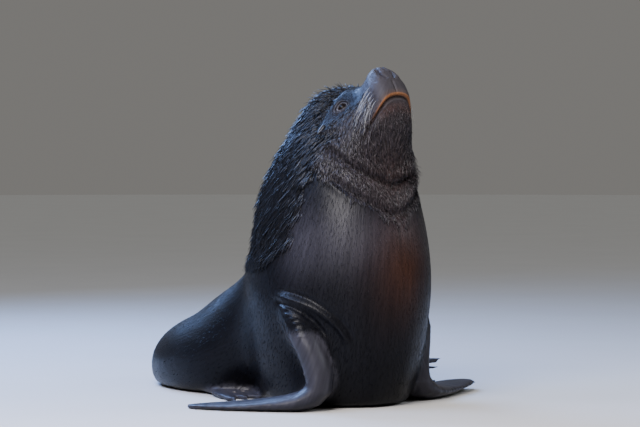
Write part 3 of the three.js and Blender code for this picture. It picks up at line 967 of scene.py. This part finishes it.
def grow(
    name, scatter, roots, length, width, lift, rings, high, wander, clump=0.0, shine=0.25, finish="wet_locks"
):
    """One piece of the coat: a closed, tapered, three-sided tuft from each root, laid along the skin.

    Lift is how far the tip stands out from the skin. Length, width and lift may differ from root to root.
    High is how high a tuft's ridge is, in halves of its width. Wander is how far its way strays, in radians.
    Clump is the share of tufts that others lean to, and shine how far their colours differ.
    """
    random, count = scatter.random, roots.count
    length = clear_of_ears(roots, length)
    side = unit(np.cross(roots.normal, roots.way))
    way = unit(roots.way + side * random.normal(0, wander, count)[:, None])
    centre, out, way = lay_down(scatter, roots, way, length / (rings - 1), rings)
    share = np.linspace(0, 1, rings)
    taper = np.interp(share, (0, 0.25, 0.6, 1), (0.62, 1.0, 0.86, 0.0))
    rise = -ROOT_DEPTH + 0.0013 * smoothstep(share, 0, 0.4)[None] + lift[:, None] * share[None] ** 1.4
    centre = centre + out * rise[..., None]
    across = unit(np.cross(out, way))
    if clump:
        pull = gather(roots, clump, random)
        heap = HEAP * np.clip(1 - np.linalg.norm(pull, axis=1) / 0.008, 0, 1)
        centre = centre + out * (heap[:, None] * share[None] ** 1.2)[..., None]
        sideways = (pull[:, None] * across).sum(axis=2) * 0.8 * share[None] ** 1.2
        centre = centre + across * np.clip(sideways, -CLUMP_REACH, CLUMP_REACH)[..., None]
    half = width[:, None] / 2 * taper[None]
    ridge = half * random.uniform(*high, count)[:, None]
    lean = random.normal(0, 0.35, count)[:, None, None]
    flank = across * half[..., None]
    top = (out + across * lean) * ridge[..., None]
    ring = np.stack((centre - flank, centre + flank, centre + top), axis=2)
    tip = ring[:, -1].mean(axis=1)[:, None]
    places = np.concatenate((ring[:, :-1].reshape(count, -1, 3), tip), axis=1)
    each = places.shape[1]
    last = each - 4
    faces = [(0, 2, 1), *side_faces(rings - 1, 3)]
    faces += [(last + k, last + (k + 1) % 3, each - 1) for k in range(3)]
    corners = (np.array(faces)[None] + (np.arange(count) * each)[:, None, None]).reshape(-1, 3)
    piece = mesh_piece(name, places.reshape(-1, 3), corners)
    mesh = piece.data
    # each tuft's own small patch, at its root's place on the skin's unwrap
    columns = np.concatenate((np.tile((0.0, 1.0, 0.5), rings - 1), (0.5,)))
    rows = np.concatenate((np.repeat(share[:-1], 3), (1.0,)))
    u = 0.02 + 0.95 * (roots.lie.turn / (2 * math.pi) % 1.0)
    v = 0.02 + 0.95 * roots.lie.run / GUIDE_RUN[-1]
    uv = np.stack((u[:, None] + PATCH * columns, v[:, None] + PATCH * rows), axis=-1).reshape(-1, 2)
    layer = mesh.uv_layers.new(name="OFBake")
    layer.data.foreach_set("uv", uv[corners.ravel()].astype(np.float32).ravel())
    shade = random.uniform(1 - shine, 1 + shine, count)[:, None] * (1, 1, 1.06)
    tint = with_alpha(roots.tint[:, :3] * shade)
    set_attribute(mesh, "tint", np.repeat(tint, each, axis=0), "FLOAT_COLOR")
    seat = random.uniform(0, 5, count)[:, None]
    strand = (seat + columns * width[:, None], seat + rows * length[:, None] * 0.04, seat + 0 * columns)
    set_attribute(mesh, "strand", np.stack(strand, axis=-1), "FLOAT_VECTOR")
    mesh.materials.append(bpy.data.materials.get(finish) or hair_finish(finish, TUFT_SHINE[finish]))
    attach(piece, "root")


class SEALION_OT_mane(bpy.types.Operator):
    """Grow the mane in long wet locks down the crown, nape and sides of the neck"""

    bl_idname = "sealion.mane"
    bl_label = "Mane"

    def execute(self, context):
        settings = context.scene.sealion_coat
        scatter = Scatter(settings.seed)
        random = scatter.random
        right = scatter.places[:, 1] < 0
        for name, where in (("right", right), ("left", ~right)):
            roots = scatter.pick(np.clip(scatter.plan.mane * 1.4 - 0.1, 0, 1) * where, 0.0068)
            count = roots.count
            crown = smoothstep(to_head(roots.place)[:, 0], -150, -30)
            full = 0.45 + 0.55 * roots.mane
            length = settings.mane_length * (1 - 0.5 * crown) * full * random.uniform(0.7, 1.25, count)
            width = 0.0060 * (1 - 0.3 * crown) * random.uniform(0.6, 1.3, count)
            ridge = smoothstep(-np.abs(roots.place[:, 1]), -0.10, -0.03)
            stray = (random.random(count) > 0.91 - 0.10 * ridge) * (0.015 + 0.009 * ridge)
            lift = 0.002 + 0.004 * random.random(count) + stray * random.uniform(0.3, 1, count)
            grow(f"mane_{name}", scatter, roots, length, width, lift * full, 6, (0.6, 1.1), 0.06, clump=0.26)
        return {"FINISHED"}


class SEALION_OT_throat(bpy.types.Operator):
    """Grow the throat's and cheeks' shorter locks"""

    bl_idname = "sealion.throat"
    bl_label = "Throat"

    def execute(self, context):
        settings = context.scene.sealion_coat
        scatter = Scatter(settings.seed + 1)
        random = scatter.random
        roots = scatter.pick(scatter.plan.throat * scatter.plan.furred, 0.0056)
        count = roots.count
        chin = smoothstep(to_head(roots.place)[:, 0], 40, 130)
        length = settings.throat_length * random.uniform(0.7, 1.25, count) * (1 - 0.55 * chin)
        width = 0.0042 * random.uniform(0.65, 1.3, count) * (1 - 0.35 * chin)
        lift = 0.0012 + 0.002 * random.random(count)
        fringe = bump(roots.place[:, 2], 0.825, 0.04) * bump(roots.place[:, 1], 0.115, 0.05)
        fringe *= random.random(count) < 0.45
        length, lift = length * (1 + fringe), lift + fringe * random.uniform(0.018, 0.045, count)
        grow("throat_coat", scatter, roots, length, width, lift, 5, (0.4, 0.8), 0.10, clump=0.25, shine=0.55)
        return {"FINISHED"}


class SEALION_OT_short_coat(bpy.types.Operator):
    """Grow the short coat of face, chest, belly and back, where it breaks the form"""

    bl_idname = "sealion.short_coat"
    bl_label = "Short coat"

    def execute(self, context):
        settings = context.scene.sealion_coat
        scatter = Scatter(settings.seed + 2)
        plan, random = scatter.plan, scatter.random
        rest = plan.furred * (1 - plan.mane) * (1 - plan.throat)
        face = rest * smoothstep(plan.head[:, 0], -100, -50) * (scatter.places[:, 2] > 0.7)
        upright = smoothstep(plan.lie.run, UPRIGHT, 1.12)
        pieces = {
            # share, spacing, length, width, lift
            "face_coat": (face, 0.0052, 0.6, 0.0018, 0.0004),
            "chest_coat": (rest * upright * (face < 0.3), 0.0105, 1.1, 0.0019, 0.0002),
            "back_coat": (rest * (1 - upright), 0.0125, 1.2, 0.0020, 0.0002),
        }
        for name, (share, spacing, long, wide, lift) in pieces.items():
            roots = scatter.pick(share, spacing)
            length = settings.short_length * long * random.uniform(0.75, 1.25, roots.count)
            width = wide * random.uniform(0.7, 1.3, roots.count)
            lift = lift * random.uniform(0.3, 1.6, roots.count)
            grow(name, scatter, roots, length, width, lift, 4, (0.10, 0.22), 0.04, finish="wet_short_coat")
        return {"FINISHED"}


def front_of(mesh):
    """1 at the vertices on the face, and 0 on the rest of the skin."""
    return smoothstep(to_head(places_of(mesh))[:, 0], -40, 0)


def body_skin(flesh, mesh_size):
    """One skin over the body, with finer faces on the head and the limbs."""
    skin = join_flesh()
    choose(skin)
    bpy.ops.object.duplicate()
    solids = bpy.context.view_layer.objects.active
    apply_modifier(skin, "DISPLACE", strength=SKIN_SWELL, mid_level=0)
    apply_modifier(skin, "REMESH", mode="VOXEL", voxel_size=mesh_size)
    mesh = skin.data
    places = places_of(mesh)
    limb = spread(flesh.share(places, LIMBS), mesh, 3)
    head = smoothstep(to_head(places)[:, 0], -190, -60) * smoothstep(places[:, 2], 0.7, 0.8)
    relax(mesh, 26, (1 - 0.92 * limb) * (1 - 0.75 * head))
    middles = middles_of(mesh)
    fine = flesh.share(middles, LIMBS) > 0.5
    fine |= (to_head(middles)[:, 0] > -175) & (middles[:, 2] > 0.72)
    fine |= distance_to_path(middles, ARM_FOLD)[0] < 0.06
    subdivide(skin, fine & (middles[:, 2] > 0.004))
    places = places_of(mesh)
    limb = spread(flesh.share(places, FLIPPERS + ["tail"]), mesh, 5)
    group = skin.vertex_groups.new(name="limbs")
    for index in np.flatnonzero(limb > 0.05):
        group.add([int(index)], float(limb[index]), "REPLACE")
    apply_modifier(skin, "SHRINKWRAP", target=solids, vertex_group="limbs")
    skin.vertex_groups.clear()
    bpy.data.objects.remove(solids)
    head = smoothstep(to_head(places)[:, 0], -200, -120) * smoothstep(places[:, 2], 0.7, 0.76)
    limb = spread(flesh.share(places, LIMBS), mesh, 2)
    relax(mesh, 14, np.maximum(head, limb), keep=0.9)
    return skin


def refine(skin):
    """Finer faces still, where the face, the ears, the elbow and the wrist need them."""
    mesh = skin.data
    middles = middles_of(mesh)
    head = to_head(middles)
    fine = (head[:, 0] > -20) & (head[:, 2] > -196)
    fine |= (gap_to(middles, ELBOW) < 0.085) | (gap_to(middles, WRIST) < 0.06)
    fine |= (distance_to_path(middles, ARM_FOLD)[0] < 0.032) | (from_ear_hole(head) < 17)
    subdivide(skin, fine)
    relax(mesh, 4, front_of(mesh), keep=0.9)
    middles = middles_of(mesh)
    head = to_head(middles)
    ahead, out, up = head.T
    side = np.abs(out - midline(ahead))
    fine = (gap_to(head * (1, 0, 1), (9, 0, -10)) < 33) & (np.abs(out) > 50)  # eyes
    fine |= (ahead > 148) & (side < 40) & (up > -84)  # nose
    fine |= (np.abs(above_mouth(head)[0]) < 9) & (ahead > 18)  # lips
    fine |= (ahead > 140) & (side < 10) & (up > -150)  # the cleft under the nose
    fine |= (distance_to_path(middles, GATHER_ROOTS)[0] < 0.036) | (gap_to(middles, WRIST) < 0.04)
    subdivide(skin, fine)
    relax(mesh, 2, front_of(mesh), keep=0.9)
    triangulate_borders(skin)


class SEALION_OT_skin(bpy.types.Operator):
    """Make one skin over all the flesh, with the face, folds and wrinkles worked into it"""

    bl_idname = "sealion.skin"
    bl_label = "Skin"

    def execute(self, context):
        settings = context.scene.sealion_skin
        flesh = FleshMap()
        skin = body_skin(flesh, settings.mesh_size)
        work_face(skin, face_forms)
        refine(skin)
        mesh = skin.data
        uncut_level, _ = above_mouth(to_head(places_of(mesh)))
        work_face(skin, face_details)
        relax(mesh, 1, front_of(mesh))
        put_places(mesh, from_head(set_lids(to_head(places_of(mesh)))))
        put_places(mesh, limb_wrinkles(places_of(mesh), normals_of(mesh)))
        places = places_of(mesh)
        arm = flesh.share(places, FOREARMS) * smoothstep(-places[:, 2], -0.30, -0.23)
        bare = spread(np.maximum(flesh.share(places, FLIPPERS), arm), mesh, 10)
        plan = Coat(places, normals_of(mesh), bare)
        plan.level = uncut_level
        depth = settings.coat_depth * plan.furred + (settings.mane_depth - settings.coat_depth) * plan.mane
        put_places(mesh, places - normals_of(mesh) * depth[:, None])
        set_attribute(mesh, "bare", bare, "FLOAT")
        set_attribute(mesh, "flow", plan.lie.flow(), "FLOAT_VECTOR")
        set_attribute(mesh, "tint", tint_of(plan, context.scene.sealion_colours), "FLOAT_COLOR")
        set_attribute(mesh, "dull", plan.dull, "FLOAT")
        mesh.materials.append(skin_finish())
        smooth(mesh)
        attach(skin, "root")
        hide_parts(*FLESH)
        return {"FINISHED"}


# ---------- eyes, ears, claws and whiskers ----------
def add_ball(name, segments, rings, radius):
    deselect_all()
    bpy.ops.mesh.primitive_uv_sphere_add(segments=segments, ring_count=rings, radius=radius)
    ball = bpy.context.object
    ball.name = name
    smooth(ball.data)
    return ball


def eye_finish(iris):
    """A dark wet eye: pupil, brown iris with a darker rim, and a dark white of the eye round it."""
    finish = Finish("wet_eye")
    ramp = finish.node("ShaderNodeValToRGB", {"Fac": finish.attribute("pupil", "Fac")})
    stops = ramp.color_ramp.elements
    stops[0].position, stops[0].color = 0.24, (0.001, 0.001, 0.001, 1)
    stops[1].position, stops[1].color = 0.30, (*iris, 1)
    for position, colour in ((0.50, iris), (0.56, (0.0015, 0.001, 0.001)), (0.80, (0.006, 0.004, 0.004))):
        stops.new(position).color = (*colour, 1)
    flecks = finish.grained(finish.noise(finish.place(), 700.0), 0.7, 1.3)
    return finish.put(
        Base_Color=finish.shade(ramp.outputs["Color"], flecks),
        Roughness=0.30,
        Coat_Weight=0.06,
        Coat_Roughness=0.06,
        Specular_IOR_Level=0.08,
    )


class SEALION_OT_eyes(bpy.types.Operator):
    """Make both eyes, with their corneas"""

    bl_idname = "sealion.eyes"
    bl_label = "Eyes"

    def execute(self, context):
        finish = eye_finish(context.scene.sealion_colours.iris)
        for side, sign in SIDES.items():
            centre, long, _, gaze = eye_frame(sign)
            ball = add_ball(f"{side}_eyeball", 48, 32, EYE_BALL_RADIUS)
            places = places_of(ball.data)
            angle = np.arccos(np.clip(places[:, 2] / EYE_BALL_RADIUS, -1, 1))
            cornea = 1.6 * smoothstep(-angle, -0.60, -0.15)
            places += places / EYE_BALL_RADIUS * cornea[:, None]
            axes = np.array((long, np.cross(gaze, long), gaze))
            put_places(ball.data, from_head(centre + places @ axes))
            set_attribute(ball.data, "pupil", angle, "FLOAT")
            ball.data.materials.append(finish)
            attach(ball, "root")
            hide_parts(f"{side}_eye")
        return {"FINISHED"}


EAR_LENGTH = 40.0
EAR_GIRTH = 7.5
EAR_ROOT = (-58, -30)  # ahead, up
EAR_WAY = (-0.81, 0.49, -0.31)
EAR_OPENING = (0.40, 0.75, -0.55)


def ear_finish():
    finish = Finish("ear_skin")
    grain = finish.noise(finish.place(), 420.0)
    return finish.put(
        Base_Color=finish.shade(finish.attribute("tint", "Color"), finish.grained(grain, 0.7, 1.3)),
        Roughness=0.50,
        Normal=finish.bump(grain, 0.0006),
        Specular_IOR_Level=0.12,
    )


def ear_places(share, turn, sign, tree):
    """A small rolled leaf that stands on the skin. Share is 0 at its root and 1 at its tip."""
    girth = EAR_GIRTH * np.sqrt(np.maximum(1 - (2 * share - 1) ** 2, 0)) * (1.15 - 0.5 * share)
    groove = bump(turn, 0, 0.75) * smoothstep(share, 0.03, 0.2) * smoothstep(1 - share, 0.04, 0.35)
    girth = girth * (1 - 0.86 * groove)
    roll = turn + 0.9 * share
    local = (np.cos(roll) * girth + 3.0 * share**2, np.sin(roll) * girth * 0.8, share * EAR_LENGTH)
    start = Vector(from_head((EAR_ROOT[0], sign * 400, EAR_ROOT[1])))
    root = to_head(np.array(tree.ray_cast(start, Vector((0, -sign, 0)))[0]))
    along = unit(np.array(EAR_WAY) * (1, sign, 1))
    opening = np.array(EAR_OPENING) * (1, sign, 1)
    opening = unit(opening - along * (opening @ along))
    axes = np.array((opening, np.cross(along, opening), along))
    return from_head(root - along * 5 + (-1, sign * 2, -1) + np.stack(local, axis=1) @ axes)


class SEALION_OT_ears(bpy.types.Operator):
    """Make both small rolled ears"""

    bl_idname = "sealion.ears"
    bl_label = "Ears"

    def execute(self, context):
        finish = ear_finish()
        tree = tree_of(bpy.data.objects["skin"])
        for side, sign in SIDES.items():
            ear = add_ball(f"{side}_ear_leaf", 32, 24, 1)
            x, y, z = places_of(ear.data).T
            turn = np.arctan2(y, x)
            put_places(ear.data, ear_places((z + 1) / 2, turn, sign, tree))
            edit(ear, True, bpy.ops.mesh.normals_make_consistent, inside=False)
            # painted shade: the groove of the ear's opening is left nearly black; the leaf's back is dark
            # grey, with a paler band along the rim
            back = smoothstep(np.abs(turn), 0.5, 0.9)
            tint = np.outer(back, (0.020, 0.020, 0.023)) + 0.001
            tint += np.outer(back * bump(np.abs(turn), 0.95, 0.35), (0.055, 0.053, 0.052))
            set_attribute(ear.data, "tint", with_alpha(tint), "FLOAT_COLOR")
            ear.data.materials.append(finish)
            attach(ear, "root")
            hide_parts(f"{side}_ear")
        return {"FINISHED"}


class SEALION_OT_claws(bpy.types.Operator):
    """Give the hind claws the look of dull horn"""

    bl_idname = "sealion.claws"
    bl_label = "Claws"

    def execute(self, context):
        finish = Finish("claw_horn")
        ridges = finish.noise(finish.place(), 300.0)
        finish.put(
            Base_Color=finish.ramp(ridges, (0.030, 0.024, 0.020), (0.095, 0.080, 0.066)),
            Roughness=finish.grained(ridges, 0.3, 0.5),
            Normal=finish.bump(ridges, 0.0005),
        )
        for name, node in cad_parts.items():
            if "_claw_" in name:
                for index in range(len(node.data.materials)):
                    node.data.materials[index] = finish.material
        return {"FINISHED"}


WHISKER_SEED = 11
WHISKER_RINGS = 14
WHISKER_SIDES = 6
WHISKER_CLEARANCE = 3.0  # from the skin, beyond the root


class SEALION_OT_whiskers(bpy.types.Operator):
    """Grow the stiff pale whiskers from the pads of the upper lip"""

    bl_idname = "sealion.whiskers"
    bl_label = "Whiskers"

    def execute(self, context):
        random = np.random.default_rng(WHISKER_SEED)
        tree = tree_of(bpy.data.objects["skin"])
        share = np.linspace(0, 1, WHISKER_RINGS)
        radius = 0.46 * (1 - share) ** 0.8 + 0.10
        tubes = []
        for sign in SIDES.values():
            for row in range(5):
                for column in range(4 + row % 2):
                    ahead = 138 - 15 * column - 3 * row + random.normal(0, 2)
                    up = -66 - 14 * row + random.normal(0, 1.5)
                    start = Vector(from_head((ahead, sign * 300, up)))
                    hit, normal, _, _ = tree.ray_cast(start, Vector((0, -sign, 0)))
                    out = np.array(normal) @ HEAD_AXES.T
                    length = random.uniform(55, 95) + 75 * (column / 5) * random.random()
                    back = np.array((-0.9, 0.12 * sign, -0.55 - 0.05 * row)) + random.normal(0, 0.08, 3)
                    first, last = unit(out * 0.75 + back * 0.7), unit(back + out * 0.10)
                    way = unit(first + (last - first) * np.minimum(1, share * 2.2)[:, None])
                    steps = np.vstack((np.zeros(3), np.cumsum((way[1:] + way[:-1]) / 2, axis=0)))
                    line = to_head(np.array(hit)) - out * 1.5 + steps * length / (WHISKER_RINGS - 1)
                    tubes.append(self.tube(self.above_skin(line, tree), radius))
        rings, sides = WHISKER_RINGS, WHISKER_SIDES
        start, end, last = rings * sides, rings * sides + 1, (rings - 1) * sides
        faces = side_faces(rings, sides)
        for k in range(sides):
            after = (k + 1) % sides
            faces += [(start, after, k), (end, last + k, last + after)]
        firsts = np.arange(len(tubes)) * len(tubes[0])
        corners = (np.array(faces)[None] + firsts[:, None, None]).reshape(-1, 3)
        piece = mesh_piece("whiskers", from_head(np.vstack(tubes)), corners)
        finish = Finish("whisker_horn")
        pale = context.scene.sealion_colours.whisker
        colour = finish.ramp(finish.noise(finish.place(), 120.0), [c * 0.5 for c in pale], pale)
        piece.data.materials.append(finish.put(Base_Color=colour, Roughness=0.35))
        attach(piece, "root")
        return {"FINISHED"}

    def above_skin(self, line, tree):
        """Keeps a whisker clear of the skin beyond its root."""
        for k in range(2, len(line)):
            spot, normal, _, _ = tree.find_nearest(Vector(from_head(line[k])))
            spot, normal = to_head(np.array(spot)), np.array(normal) @ HEAD_AXES.T
            line[k] += normal * max(0, WHISKER_CLEARANCE - (line[k] - spot) @ normal)
        return line

    def tube(self, line, radius):
        """The vertices of a closed tapered tube along a line: its rings, then its two ends."""
        way = unit(np.gradient(line, axis=0))
        side = unit(np.cross(way, (0.1, 0.2, 1.0)))
        other = np.cross(way, side)
        turn = (np.arange(WHISKER_SIDES) * 2 * math.pi / WHISKER_SIDES)[None, :, None]
        ring = side[:, None] * np.cos(turn) + other[:, None] * np.sin(turn)
        return np.vstack(((line[:, None] + ring * radius[:, None, None]).reshape(-1, 3), line[[0, -1]]))


# ---------- the studio ----------
FLOOR_RADIUS = 40
FLOOR_LEVEL = -0.0005
SENSOR_WIDTH = 36
LIGHTS = {
    # right, up and towards the camera from its aim; size; power; colour
    "sky_light": (-2.3, 2.7, -2.7, 2.8, 600, (0.25, 0.45, 1.0)),
    "side_light": (-2.5, 2.7, 0.9, 2.4, 250, (0.32, 0.48, 1.0)),
    "front_light": (-0.9, 2.1, 3.2, 2.3, 420, (1.0, 0.96, 0.97)),
    "far_light": (3.2, 1.6, 0.3, 1.6, 70, (0.85, 0.90, 1.0)),
}


def put_in_scene(name, data, place, back):
    """Adds a light or the camera, with its back turned along the way given."""
    item = bpy.data.objects.new(name, data)
    item.location = place
    item.rotation_mode = "QUATERNION"
    item.rotation_quaternion = back.to_track_quat("Z", "Y")
    bpy.context.scene.collection.objects.link(item)
    return item


class SEALION_OT_stage(bpy.types.Operator):
    """Set up the floor, the soft lights and the camera"""

    bl_idname = "sealion.stage"
    bl_label = "Stage"

    def execute(self, context):
        scene = context.scene
        settings = scene.sealion_stage
        self.lay_floor()
        scene.world = bpy.data.worlds.new("studio")
        scene.world.use_nodes = True
        sky = scene.world.node_tree.nodes["Background"]
        sky.inputs["Color"].default_value = (0.50, 0.485, 0.46, 1)
        sky.inputs["Strength"].default_value = 0.38
        turn, rise = settings.azimuth, settings.elevation
        back = Vector((math.sin(turn) * math.cos(rise), -math.cos(turn) * math.cos(rise), math.sin(rise)))
        right = Vector((math.cos(turn), math.sin(turn), 0))
        up = Vector((0, 0, 1))
        aim = Vector((0, 0, settings.aim_height))
        sun = bpy.data.lights.new("overcast", "SUN")
        sun.energy, sun.angle, sun.color = 1.2, 1.4, (0.90, 0.95, 1.0)
        put_in_scene("overcast", sun, (0, 0, 0), up * 2.0 - right * 0.9 - back * 0.7)
        for name, (across, above, near, size, power, colour) in LIGHTS.items():
            light = bpy.data.lights.new(name, "AREA")
            light.shape, light.size, light.energy, light.color = "DISK", size, power, colour
            place = aim + right * across + up * above + back * near
            put_in_scene(name, light, place, place - aim)
        camera = bpy.data.cameras.new("camera")
        camera.lens, camera.sensor_width, camera.clip_end = settings.lens, SENSOR_WIDTH, 200
        scene.camera = put_in_scene("camera", camera, aim + back * settings.distance, back)
        return {"FINISHED"}

    def lay_floor(self):
        deselect_all()
        bpy.ops.mesh.primitive_circle_add(
            vertices=96, radius=FLOOR_RADIUS, fill_type="NGON", location=(0, 0, FLOOR_LEVEL)
        )
        floor = bpy.context.object
        floor.name = "floor"
        bpy.ops.object.transform_apply(location=True)
        finish = Finish("pale_floor")
        wear = finish.noise(finish.place(), 1.5)
        colour = finish.ramp(wear, (0.37, 0.355, 0.335), (0.41, 0.395, 0.37))
        floor.data.materials.append(finish.put(Base_Color=colour, Roughness=0.85))


class SEALION_PT_panel(bpy.types.Panel):
    """Lists the steps and their settings"""

    bl_label = "Sea Lion"
    bl_idname = "SEALION_PT_panel"
    bl_space_type = "VIEW_3D"
    bl_region_type = "UI"
    bl_category = "Sea Lion"

    def draw(self, context):
        for name, group in SETTINGS.items():
            box = self.layout.box()
            box.label(text=group.__doc__)
            for key in group.__annotations__:
                box.prop(getattr(context.scene, name), key)
        for step in STEPS:
            self.layout.operator(step.bl_idname)


SETTINGS = {
    "sealion_skin": SkinSettings,
    "sealion_coat": CoatSettings,
    "sealion_colours": ColourSettings,
    "sealion_stage": StageSettings,
}
STEPS = [SEALION_OT_skin, SEALION_OT_eyes, SEALION_OT_ears, SEALION_OT_claws, SEALION_OT_mane]
STEPS += [SEALION_OT_throat, SEALION_OT_short_coat, SEALION_OT_whiskers, SEALION_OT_stage]
CLASSES = [*SETTINGS.values(), *STEPS, SEALION_PT_panel]


def register():
    for one in CLASSES:
        bpy.utils.register_class(one)
    for name, group in SETTINGS.items():
        setattr(bpy.types.Scene, name, PointerProperty(type=group))


def unregister():
    for name in SETTINGS:
        delattr(bpy.types.Scene, name)
    for one in reversed(CLASSES):
        bpy.utils.unregister_class(one)


def main():
    register()
    for step in STEPS:
        group, name = step.bl_idname.split(".")
        getattr(getattr(bpy.ops, group), name)()


if __name__ == "__main__":
    main()
